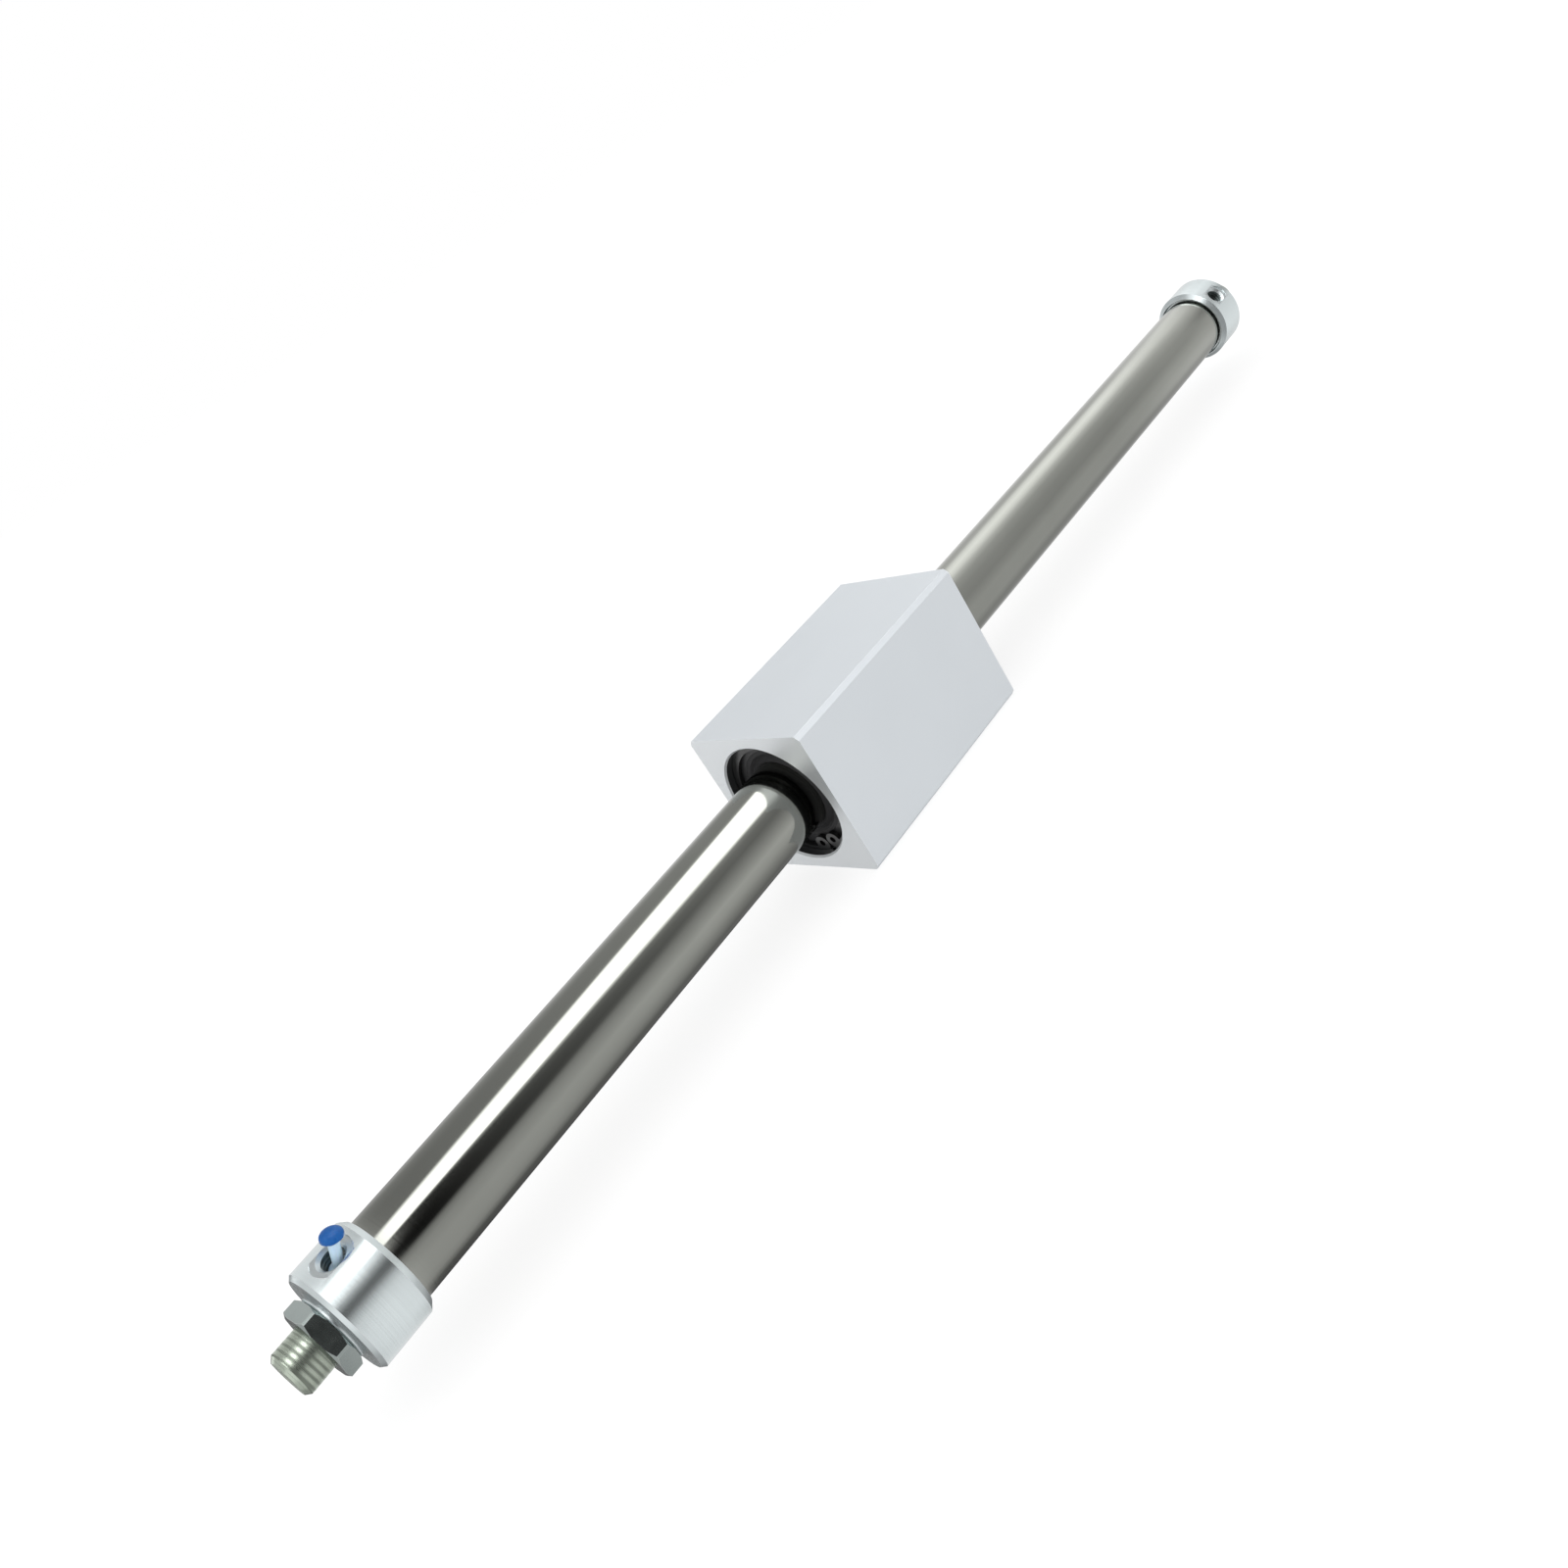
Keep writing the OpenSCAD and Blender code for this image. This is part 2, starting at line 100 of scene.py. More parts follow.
def place_camera():
    """Camera with its heading from +Y towards +X, its pitch above the horizon and its roll, in degrees."""
    data = bpy.data.cameras.new("camera")
    data.lens = CAMERA_LENS
    data.sensor_width = 36
    data.shift_x = CAMERA_SHIFT[0]
    data.shift_y = CAMERA_SHIFT[1]
    data.clip_start = 0.01
    data.clip_end = 100
    camera = bpy.data.objects.new("camera", data)
    bpy.context.scene.collection.objects.link(camera)
    heading = math.radians(CAMERA_HEADING)
    pitch = math.radians(CAMERA_PITCH)
    aim = Vector((
        math.sin(heading) * math.cos(pitch),
        math.cos(heading) * math.cos(pitch),
        math.sin(pitch),
    ))
    camera.rotation_mode = "QUATERNION"
    roll = Quaternion((0, 0, 1), math.radians(CAMERA_ROLL))
    camera.rotation_quaternion = aim.to_track_quat("-Z", "Y") @ roll
    camera.location = CAMERA_PLACE
    bpy.context.scene.camera = camera


# Node helpers


def add_node(tree, kind, inputs=None, **settings):
    """A node with some of its settings and unlinked inputs set."""
    node = tree.nodes.new(kind)
    for name, value in settings.items():
        setattr(node, name, value)
    for name, value in (inputs or {}).items():
        node.inputs[name].default_value = value
    return node


def add_math(tree, operation, first, second=None, clamp=False):
    """A Math node on sockets or numbers, and its output."""
    node = add_node(tree, "ShaderNodeMath", operation=operation, use_clamp=clamp)
    for socket, value in zip(node.inputs, (first, second)):
        if isinstance(value, bpy.types.NodeSocket):
            tree.links.new(value, socket)
        elif value is not None:
            socket.default_value = value
    return node.outputs[0]


def add_range(tree, value, source, target, smooth=False):
    """Maps a socket from one range to another, and gives the output."""
    node = add_node(tree, "ShaderNodeMapRange")
    node.interpolation_type = "SMOOTHSTEP" if smooth else "LINEAR"
    tree.links.new(value, node.inputs["Value"])
    for name, number in zip(("From Min", "From Max", "To Min", "To Max"), (*source, *target)):
        node.inputs[name].default_value = number
    return node.outputs["Result"]


def add_mix(tree, share, first, second):
    """Mixes two colours, given as sockets or as red, green and blue, by a socket."""
    node = add_node(tree, "ShaderNodeMix", data_type="RGBA")
    tree.links.new(share, node.inputs["Factor"])
    for name, value in (("A", first), ("B", second)):
        socket = [s for s in node.inputs if s.name == name and s.type == "RGBA"][0]
        if isinstance(value, bpy.types.NodeSocket):
            tree.links.new(value, socket)
        else:
            socket.default_value = (*value, 1)
    return [s for s in node.outputs if s.type == "RGBA"][0]


def new_material(name):
    """An empty node material with a Principled shader, and the parts that a finish works on."""
    material = bpy.data.materials.new(name)
    material.use_nodes = True
    tree = material.node_tree
    tree.nodes.clear()
    output = tree.nodes.new("ShaderNodeOutputMaterial")
    shader = tree.nodes.new("ShaderNodeBsdfPrincipled")
    tree.links.new(shader.outputs[0], output.inputs["Surface"])
    place = tree.nodes.new("ShaderNodeTexCoord").outputs["Object"]
    return material, tree, shader, place


def grain(tree, place, size, detail=2.0, stretch=(1, 1, 1)):
    """Noise with features of a size in metres, stretched along the axes."""
    mapping = add_node(tree, "ShaderNodeMapping")
    mapping.inputs["Scale"].default_value = [1 / s for s in stretch]
    tree.links.new(place, mapping.inputs["Vector"])
    noise = add_node(tree, "ShaderNodeTexNoise", {"Scale": 1 / size, "Detail": detail})
    tree.links.new(mapping.outputs[0], noise.inputs["Vector"])
    return noise.outputs["Fac"]


def from_axis(tree, place):
    """Distance from the X axis."""
    split = add_node(tree, "ShaderNodeSeparateXYZ")
    tree.links.new(place, split.inputs[0])
    squares = [add_math(tree, "MULTIPLY", split.outputs[i], split.outputs[i]) for i in (1, 2)]
    return add_math(tree, "SQRT", add_math(tree, "ADD", *squares))


def tool_marks(tree, place, size):
    """Noise that is the same all the way round the X axis, as a lathe tool leaves it."""
    split = add_node(tree, "ShaderNodeSeparateXYZ")
    tree.links.new(place, split.inputs[0])
    joined = add_node(tree, "ShaderNodeCombineXYZ")
    tree.links.new(split.outputs[0], joined.inputs[0])
    tree.links.new(from_axis(tree, place), joined.inputs[1])
    noise = add_node(tree, "ShaderNodeTexNoise", {"Scale": 1 / size, "Detail": 1.0})
    tree.links.new(joined.outputs[0], noise.inputs["Vector"])
    return noise.outputs["Fac"]


BORE_REACH = 0.0162  # a little more than the radius of the slider block's mouths


def machined_faces(tree, place):
    """Two masks of the slider block: the walls of its mouths and bore, where shade is painted, and its two
    end faces.
    """
    normal = add_node(tree, "ShaderNodeNewGeometry").outputs["True Normal"]
    split = add_node(tree, "ShaderNodeSeparateXYZ")
    tree.links.new(normal, split.inputs[0])
    ends = add_math(tree, "GREATER_THAN", add_math(tree, "ABSOLUTE", split.outputs[0]), 0.5)
    walls = add_math(tree, "SUBTRACT", 1.0, ends)
    near = add_math(tree, "LESS_THAN", from_axis(tree, place), BORE_REACH)
    return add_math(tree, "MULTIPLY", walls, near), ends


def edge_mask(tree, width):
    """One on sharp edges and zero away from them."""
    bevel = add_node(tree, "ShaderNodeBevel", {"Radius": width}, samples=6)
    true = add_node(tree, "ShaderNodeNewGeometry")
    dot = add_node(tree, "ShaderNodeVectorMath", operation="DOT_PRODUCT")
    tree.links.new(bevel.outputs[0], dot.inputs[0])
    tree.links.new(true.outputs["Normal"], dot.inputs[1])
    return add_range(tree, dot.outputs["Value"], (0.995, 0.9), (0, 1))


def bump(tree, shader, height, distance, strength=1.0, below=None):
    """Raises the surface by a height map, over another bump if one is given, and gives the new normal."""
    node = add_node(tree, "ShaderNodeBump", {"Strength": strength, "Distance": distance})
    tree.links.new(height, node.inputs["Height"])
    if below is not None:
        tree.links.new(below, node.inputs["Normal"])
    tree.links.new(node.outputs[0], shader.inputs["Normal"])
    return node.outputs[0]


# Materials


def ground_steel():
    """Polished stainless tube with faint grinding rings."""
    material, tree, shader, place = new_material("tube_ground_steel")
    shader.inputs["Metallic"].default_value = 1.0
    clouds = grain(tree, place, 0.012)
    rings = tool_marks(tree, place, 0.00025)
    base = add_mix(tree, clouds, (0.385, 0.394, 0.362), (0.415, 0.424, 0.392))
    tree.links.new(base, shader.inputs["Base Color"])
    tree.links.new(add_range(tree, rings, (0.3, 0.7), (0.07, 0.1)), shader.inputs["Roughness"])
    bump(tree, shader, rings, 0.0000003)
    return material


# Head covers: the share of a face's normal along X that makes it a chamfer or an end face, what their
# roughness has over the turned side's, and the distance from the X axis at which the nose's bare metal ends
CHAMFER_SHARE = 0.6
END_SHARE = 0.85
CHAMFER_ROUGHER = 0.17
END_SMOOTHER = 0.11  # than a chamfer
NOSE_ROUGHER = 0.14
NOSE_EDGE = (0.0046, 0.0049)


def turned_aluminium():
    """Turned and clear anodised aluminium of the head covers, with bare metal on the threaded nose."""
    material, tree, shader, place = new_material("cover_turned_aluminium")
    marks = tool_marks(tree, place, 0.00022)
    edges = edge_mask(tree, 0.0003)
    clouds = grain(tree, place, 0.004)
    base = add_mix(tree, clouds, (0.79, 0.86, 0.87), (0.83, 0.9, 0.91))
    # lighter sharp edges: wear, and a painted highlight along them
    worn_and_highlit = add_mix(tree, edges, base, (0.86, 0.9, 0.92))
    nose = add_range(tree, from_axis(tree, place), NOSE_EDGE, (1, 0))
    tree.links.new(add_mix(tree, nose, worn_and_highlit, (0.6, 0.67, 0.57)), shader.inputs["Base Color"])
    tree.links.new(add_range(tree, nose, (0, 1), (0.92, 1)), shader.inputs["Metallic"])
    normal = add_node(tree, "ShaderNodeNewGeometry").outputs["True Normal"]
    split = add_node(tree, "ShaderNodeSeparateXYZ")
    tree.links.new(normal, split.inputs[0])
    across = add_math(tree, "ABSOLUTE", split.outputs[0])
    faced = add_math(tree, "MULTIPLY", add_math(tree, "GREATER_THAN", across, CHAMFER_SHARE), CHAMFER_ROUGHER)
    square = add_math(tree, "MULTIPLY", add_math(tree, "GREATER_THAN", across, END_SHARE), END_SMOOTHER)
    extra = add_math(tree, "SUBTRACT", faced, square)
    satin = add_range(tree, marks, (0.3, 0.7), (0.12, 0.16))
    coarse = add_math(tree, "MULTIPLY", extra, add_math(tree, "SUBTRACT", 1.0, nose))
    rough = add_math(tree, "ADD", coarse, add_math(tree, "MULTIPLY", nose, NOSE_ROUGHER))
    tree.links.new(add_math(tree, "ADD", satin, rough), shader.inputs["Roughness"])
    bump(tree, shader, marks, 0.0000006)
    return material


def blasted_aluminium():
    """Fine blasted and clear anodised aluminium of the slider block, with smooth turned bores whose colour is
    darkened as painted shade.
    """
    material, tree, shader, place = new_material("block_blasted_aluminium")
    fine = grain(tree, place, 0.00018, 3.0)
    clouds = grain(tree, place, 0.02)
    edges = edge_mask(tree, 0.00025)
    base = add_mix(tree, clouds, (0.645, 0.68, 0.71), (0.675, 0.71, 0.74))
    # lighter sharp edges: wear, and a painted highlight along the ridges
    worn_and_highlit = add_mix(tree, edges, base, (0.74, 0.77, 0.8))
    shaded_bore, ends = machined_faces(tree, place)
    faced = add_mix(tree, ends, worn_and_highlit, (0.84, 0.87, 0.89))
    # the bores and mouth walls get a dark colour: painted shade inside them
    tree.links.new(add_mix(tree, shaded_bore, faced, (0.3, 0.31, 0.32)), shader.inputs["Base Color"])
    bare = add_math(tree, "MAXIMUM", shaded_bore, add_math(tree, "MULTIPLY", ends, 0.85))
    tree.links.new(add_math(tree, "MAXIMUM", bare, 0.3), shader.inputs["Metallic"])
    satin = add_range(tree, fine, (0.3, 0.7), (0.42, 0.54))
    smooth = add_math(tree, "SUBTRACT", 1.0, add_math(tree, "MULTIPLY", shaded_bore, 0.55))
    smoother = add_math(tree, "SUBTRACT", smooth, add_math(tree, "MULTIPLY", ends, 0.1))
    tree.links.new(add_math(tree, "MULTIPLY", satin, smoother), shader.inputs["Roughness"])
    bump(tree, shader, fine, 0.000008)
    return material


def plated_steel():
    """Zinc plating of the nuts and the piston's shaft."""
    material, tree, shader, place = new_material("zinc_plated_steel")
    shader.inputs["Metallic"].default_value = 1.0
    clouds = grain(tree, place, 0.0025, 4.0)
    fine = grain(tree, place, 0.0003, 2.0)
    edges = edge_mask(tree, 0.0002)
    base = add_mix(tree, clouds, (0.42, 0.475, 0.46), (0.47, 0.525, 0.51))
    worn_and_highlit = add_mix(tree, edges, base, (0.62, 0.65, 0.64))
    tree.links.new(worn_and_highlit, shader.inputs["Base Color"])
    tree.links.new(add_range(tree, clouds, (0.3, 0.7), (0.13, 0.2)), shader.inputs["Roughness"])
    bump(tree, shader, fine, 0.0000015)
    return material


PLUG_NECK_HIGHLIGHT = (0.0121, 0.0125)  # height above the axis over which the painted highlight on the plug's neck, a pale colour, ends under its head


def moulded_blue():
    """Soft blue plastic of the transit plug, with a painted highlight: its neck is coloured pale."""
    material, tree, shader, place = new_material("plug_blue_plastic")
    skin = grain(tree, place, 0.0004, 3.0)
    base = add_mix(tree, skin, (0.002, 0.075, 0.3), (0.004, 0.12, 0.42))
    angle = math.radians(PORT_ANGLES["front_head_cover"])
    height = add_node(tree, "ShaderNodeVectorMath", operation="DOT_PRODUCT")
    tree.links.new(place, height.inputs[0])
    height.inputs[1].default_value = (0, math.cos(angle), math.sin(angle))
    neck_highlight = add_range(tree, height.outputs["Value"], PLUG_NECK_HIGHLIGHT, (1, 0), smooth=True)
    # the pale colour on the neck is a painted highlight
    tree.links.new(add_mix(tree, neck_highlight, base, (0.58, 0.76, 0.9)), shader.inputs["Base Color"])
    shader.inputs["Specular IOR Level"].default_value = 0.3
    tree.links.new(add_range(tree, skin, (0.3, 0.7), (0.28, 0.4)), shader.inputs["Roughness"])
    shader.inputs["Subsurface Weight"].default_value = 0.12
    shader.inputs["Subsurface Radius"].default_value = (0.2, 0.4, 1.0)
    shader.inputs["Subsurface Scale"].default_value = 0.0008
    bump(tree, shader, skin, 0.00001)
    return material


def plain_finish(name, dark, light, metallic, roughness, size, height, stretch=(1, 1, 1)):
    """A finish whose colour, roughness and relief follow one grain."""
    material, tree, shader, place = new_material(name)
    shader.inputs["Metallic"].default_value = metallic
    pattern = grain(tree, place, size, 3.0, stretch)
    tree.links.new(add_mix(tree, pattern, dark, light), shader.inputs["Base Color"])
    tree.links.new(add_range(tree, pattern, (0.3, 0.7), roughness), shader.inputs["Roughness"])
    bump(tree, shader, pattern, height)
    return material


def turned_finish(name, dark, light, metallic, roughness, size, height):
    """A finish whose colour, roughness and relief follow rings round the X axis."""
    material, tree, shader, place = new_material(name)
    shader.inputs["Metallic"].default_value = metallic
    pattern = tool_marks(tree, place, size)
    tree.links.new(add_mix(tree, pattern, dark, light), shader.inputs["Base Color"])
    tree.links.new(add_range(tree, pattern, (0.3, 0.7), roughness), shader.inputs["Roughness"])
    bump(tree, shader, pattern, height)
    return material


def make_materials():
    """One material for each slot of the record."""
    return {
        "tube_steel": ground_steel(),
        "cover_aluminium": turned_aluminium(),
        "block_aluminium": blasted_aluminium(),
        "plated_steel": plated_steel(),
        "plug_plastic": moulded_blue(),
        "rubber": plain_finish(
            "black_rubber", (0.012, 0.012, 0.013), (0.024, 0.024, 0.026),
            0, (0.55, 0.7), 0.0004, 0.00001),
        "piston_aluminium": turned_finish(
            "piston_machined_aluminium", (0.66, 0.68, 0.69), (0.76, 0.77, 0.78),
            1, (0.25, 0.38), 0.0003, 0.000006),
        "wear_resin": turned_finish(
            "wear_ring_resin", (0.07, 0.07, 0.075), (0.1, 0.1, 0.105),
            0, (0.4, 0.55), 0.0003, 0.000008),
        "holder_resin": plain_finish(
            "holder_black_resin", (0.014, 0.014, 0.015), (0.022, 0.022, 0.024),
            0, (0.38, 0.5), 0.0005, 0.000008),
        "felt": plain_finish(
            "oiled_felt", (0.46, 0.4, 0.29), (0.62, 0.56, 0.44),
            0, (0.85, 0.98), 0.0003, 0.0001, (1, 1, 3)),
        "magnet": plain_finish(
            "nickel_plated_magnet", (0.55, 0.54, 0.51), (0.63, 0.62, 0.59),
            1, (0.18, 0.28), 0.0006, 0.000004),
        "yoke_steel": turned_finish(
            "yoke_ground_steel", (0.4, 0.4, 0.41), (0.5, 0.5, 0.51),
            1, (0.3, 0.42), 0.0003, 0.000005),
        "spring_steel": plain_finish(
            "oiled_spring_steel", (0.07, 0.07, 0.07), (0.12, 0.12, 0.12),
            1, (0.28, 0.42), 0.0008, 0.000005),
    }


# Threads

THREAD_FLANK = (0.15, 0.85)  # share of the way from valley to ridge over which a thread rises
RUN_OUT_TURNS = 0.6
THREAD_PHASE = 0.3
POINTS_A_TURN = 12
POINTS_ROUND = 65
THREAD_GAP = 0.02  # left at each end of a thread for the bridge to the bare wall, in millimetres
UNCHAMFERED_RADIUS = 1.0  # an end radius in metres that cuts nothing
SHARP_EDGE = math.radians(28)


def thread_tree(material):
    """Geometry Nodes for the wall of a thread about +X, from x = 0 to its length.
    Run-outs take it back to the bare wall at both ends, and a chamfer can cut its far end."""
    tree = bpy.data.node_groups.new("thread_wall", "GeometryNodeTree")
    face = tree.interface
    sizes = ("Length", "Wall Radius", "Thread Depth", "Pitch", "Run-out", "End Radius", "Chamfer", "Phase")
    for name in sizes:
        face.new_socket(name, in_out="INPUT", socket_type="NodeSocketFloat")
    for name in ("Points Along", "Points Round"):
        face.new_socket(name, in_out="INPUT", socket_type="NodeSocketInt")
    face.new_socket("Geometry", in_out="OUTPUT", socket_type="NodeSocketGeometry")
    given = tree.nodes.new("NodeGroupInput").outputs
    links = tree.links

    grid = add_node(tree, "GeometryNodeMeshGrid", {"Size Y": math.tau})
    links.new(given["Length"], grid.inputs["Size X"])
    links.new(given["Points Along"], grid.inputs["Vertices X"])
    links.new(given["Points Round"], grid.inputs["Vertices Y"])
    split = add_node(tree, "ShaderNodeSeparateXYZ")
    links.new(tree.nodes.new("GeometryNodeInputPosition").outputs[0], split.inputs[0])
    along = add_math(tree, "ADD", split.outputs[0], add_math(tree, "MULTIPLY", given["Length"], 0.5))
    angle = split.outputs[1]

    pitches = add_math(tree, "DIVIDE", along, given["Pitch"])
    turns = add_math(tree, "SUBTRACT", pitches, add_math(tree, "DIVIDE", angle, math.tau))
    share = add_math(tree, "FRACT", add_math(tree, "ADD", turns, given["Phase"]))
    saw = add_math(tree, "SUBTRACT", add_math(tree, "MULTIPLY", share, 2.0), 1.0)
    ridge = add_math(tree, "SUBTRACT", 1.0, add_math(tree, "ABSOLUTE", saw))
    flats = add_range(tree, ridge, THREAD_FLANK, (0, 1))
    start = add_math(tree, "DIVIDE", along, given["Run-out"], clamp=True)
    left = add_math(tree, "SUBTRACT", given["Length"], along)
    end = add_math(tree, "DIVIDE", left, given["Run-out"], clamp=True)
    height = add_math(tree, "MULTIPLY", flats, add_math(tree, "MINIMUM", start, end))
    rise = add_math(tree, "MULTIPLY", height, given["Thread Depth"])
    threaded = add_math(tree, "ADD", given["Wall Radius"], rise)
    cone = add_math(tree, "ADD", given["End Radius"], add_math(tree, "MULTIPLY", left, given["Chamfer"]))
    radius = add_math(tree, "MINIMUM", threaded, cone)

    joined = add_node(tree, "ShaderNodeCombineXYZ")
    links.new(along, joined.inputs[0])
    links.new(add_math(tree, "MULTIPLY", radius, add_math(tree, "COSINE", angle)), joined.inputs[1])
    links.new(add_math(tree, "MULTIPLY", radius, add_math(tree, "SINE", angle)), joined.inputs[2])
    placed = add_node(tree, "GeometryNodeSetPosition")
    links.new(grid.outputs["Mesh"], placed.inputs["Geometry"])
    links.new(joined.outputs[0], placed.inputs["Position"])
    closed = add_node(tree, "GeometryNodeMergeByDistance", {"Distance": 1e-6})
    links.new(placed.outputs[0], closed.inputs["Geometry"])
    real = add_node(tree, "GeometryNodeRealizeInstances")
    links.new(closed.outputs[0], real.inputs[0])
    painted = add_node(tree, "GeometryNodeSetMaterial")
    painted.inputs["Material"].default_value = material
    links.new(real.outputs[0], painted.inputs["Geometry"])
    output = tree.nodes.new("NodeGroupOutput")
    links.new(painted.outputs[0], output.inputs["Geometry"])
    return tree


def thread_mesh(tree, thread, length, end_radius=UNCHAMFERED_RADIUS, chamfer=0.0):
    """The wall of one thread as a plain mesh about +X, in metres."""
    holder = bpy.data.objects.new("thread", bpy.data.meshes.new("thread"))
    bpy.context.scene.collection.objects.link(holder)
    modifier = holder.modifiers.new("thread", "NODES")
    modifier.node_group = tree
    outside = thread["crest"] > thread["root"]
    wall = thread["root"] if outside else thread["crest"]
    values = {
        "Length": length,
        "Wall Radius": wall / 2 * MM,
        "Thread Depth": abs(thread["crest"] - thread["root"]) / 2 * MM,
        "Pitch": thread["pitch"] * MM,
        "Run-out": thread["pitch"] * RUN_OUT_TURNS * MM,
        "End Radius": end_radius,
        "Chamfer": chamfer,
        "Phase": THREAD_PHASE,
        "Points Along": max(POINTS_A_TURN, round(length / (thread["pitch"] * MM) * POINTS_A_TURN)) + 1,
        "Points Round": POINTS_ROUND,
    }
    for item in tree.interface.items_tree:
        if item.in_out == "INPUT":
            modifier[item.identifier] = values[item.name]
    bpy.context.view_layer.update()
    graph = bpy.context.evaluated_depsgraph_get()
    mesh = bpy.data.meshes.new_from_object(holder.evaluated_get(graph))
    holder.modifiers.remove(modifier)
    bpy.data.objects.remove(holder)
    return mesh


def along_x(start, direction):
    """The matrix that puts something made along +X at a point, along a direction."""
    turn = Vector(direction).to_track_quat("X", "Z")
    return Matrix.Translation(start) @ turn.to_matrix().to_4x4()


def open_loops(bm):
    """Groups of open edges, each group one ring."""
    left = {e for e in bm.edges if e.is_boundary}
    loops = []
    while left:
        ring = [left.pop()]
        for edge in ring:
            for corner in edge.verts:
                for other in corner.link_edges:
                    if other in left:
                        left.remove(other)
                        ring.append(other)
        loops.append(ring)
    return loops


def loop_centre(ring):
    """Mean of the corners of a ring of edges."""
    corners = {v for e in ring for v in e.verts}
    return sum((v.co for v in corners), Vector()) / len(corners)


def cut_thread(bm, tree, thread, start, direction, length, radius_test, **ends):
    """Takes the plain wall out of a merged mesh, puts a threaded one in its place and bridges the rings."""
    direction = Vector(direction).normalized()
    wall = []
    for face in bm.faces:
        offsets = [v.co - start for v in face.verts]
        heights = [o.dot(direction) for o in offsets]
        radii = [(o - h * direction).length for o, h in zip(offsets, heights)]
        inside = min(heights) > -WALL_SLACK * MM and max(heights) < length + WALL_SLACK * MM
        if inside and radius_test(radii) and abs(face.normal.dot(direction)) < ACROSS_SHARE:
            wall.append(face)
    bmesh.ops.delete(bm, geom=wall, context="FACES")
    mesh = thread_mesh(tree, thread, length - 2 * THREAD_GAP * MM, **ends)
    mesh.transform(along_x(start + direction * THREAD_GAP * MM, direction))
    bm.from_mesh(mesh)
    bpy.data.meshes.remove(mesh)
    for face in bm.faces:
        face.material_index = 0
    loops = open_loops(bm)
    while loops:
        ring = loops.pop()
        centre = loop_centre(ring)
        partner = min(loops, key=lambda other: (loop_centre(other) - centre).length)
        loops.remove(partner)
        bmesh.ops.bridge_loops(bm, edges=ring + partner)


def copy_of_node(name):
    """A merged bmesh of a CAD node."""
    bm = bmesh.new()
    bm.from_mesh(frame["nodes"][name].data)
    bmesh.ops.remove_doubles(bm, verts=bm.verts, dist=1e-6)
    bm.normal_update()
    return bm


def finished_piece(name, bm, node, body, slot, *others):
    """Turns a bmesh into a piece that stands for a CAD node. Other materials follow its slot's own."""
    bmesh.ops.recalc_face_normals(bm, faces=bm.faces)
    for face in bm.faces:
        face.smooth = True
    for edge in bm.edges:
        edge.smooth = len(edge.link_faces) == 2 and edge.calc_face_angle(0) < SHARP_EDGE
    mesh = bpy.data.meshes.new(name)
    bm.to_mesh(mesh)
    bm.free()
    for material in (MATERIALS[slot], *others):
        mesh.materials.append(material)
    piece = bpy.data.objects.new(name, mesh)
    bpy.context.scene.collection.objects.link(piece)
    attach(piece, body)
    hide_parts(node)
    return piece


def port_frame(node):
    """The point of the tube's axis that a port's axis meets, and the way the port faces."""
    low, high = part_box(node)
    angle = math.radians(PORT_ANGLES[node])
    side = -1 if low.x < 0 else 1
    tube_end = high.x if side < 0 else low.x
    start = Vector((tube_end + side * (COLLAR_REACH + PORT_FROM_TUBE_SIDE) * MM, 0, 0))
    return start, Vector((0, math.cos(angle), math.sin(angle)))


def hole_wall(thread):
    """A test for faces that lie on the wall of a hole at a thread's crest."""
    wall = thread["crest"] / 2 * MM
    return lambda radii: all(abs(r - wall) < WALL_SLACK * MM for r in radii)


def port_finish(face, centre, facing):
    """Which of a cover's finishes a face has: 1 in the port's thread, where a dark colour paints the shade
    inside the port, 2 on its rim and spot face, or 0.
    """
    offset = face.calc_center_median() - centre
    height = offset.dot(facing)
    away = (offset - height * facing).length
    slope = face.normal.dot(facing)
    slack = FACE_SLACK * MM
    spot = (COVER_RADIUS - SPOT_DEPTH) * MM
    floor = spot - PORT_DEPTH * MM
    rim = spot - PORT_SINK_DEPTH * MM
    if away < PORT_THREAD["root"] / 2 * MM + slack and floor - slack < height < rim + slack:
        return 1
    sunk = away < PORT_SINK_RADIUS * MM and height > rim - slack and slope < SUNK_SHARE
    level = away < SPOT_RADIUS * MM and abs(height - spot) < WALL_SLACK * MM and slope > LEVEL_SHARE
    return 2 if sunk or level else 0


def threaded_cover(node, tree):
    """Head cover with a thread on its nose and in its port."""
    bm = copy_of_node(node)
    low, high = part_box(node)
    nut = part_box(node.replace("head_cover", "mounting_nut"))
    centre, facing = port_frame(node)
    side = -1 if low.x < 0 else 1
    nose_start = nut[0].x if side < 0 else nut[1].x
    nose_end = low.x if side < 0 else high.x
    nose = abs(nose_end - nose_start)
    crest = NOSE_THREAD["crest"] / 2 * MM
    core = NOSE_CORE_RADIUS * MM
    cut_thread(
        bm, tree, NOSE_THREAD, Vector((nose_start, 0, 0)), (side, 0, 0), nose,
        lambda radii: max(radii) < crest + FACE_SLACK * MM and min(radii) > core,
        end_radius=crest - NOSE_CHAMFER * MM, chamfer=1.0)
    floor = (COVER_RADIUS - SPOT_DEPTH - PORT_DEPTH) * MM
    cut_thread(
        bm, tree, PORT_THREAD, centre + facing * floor, facing, (PORT_DEPTH - PORT_SINK_DEPTH) * MM,
        hole_wall(PORT_THREAD))
    for face in bm.faces:
        face.material_index = port_finish(face, centre, facing)
    return finished_piece(node + "_threaded", bm, node, "barrel", "cover_aluminium", PORT_SHADE_METAL, SPOT_METAL)


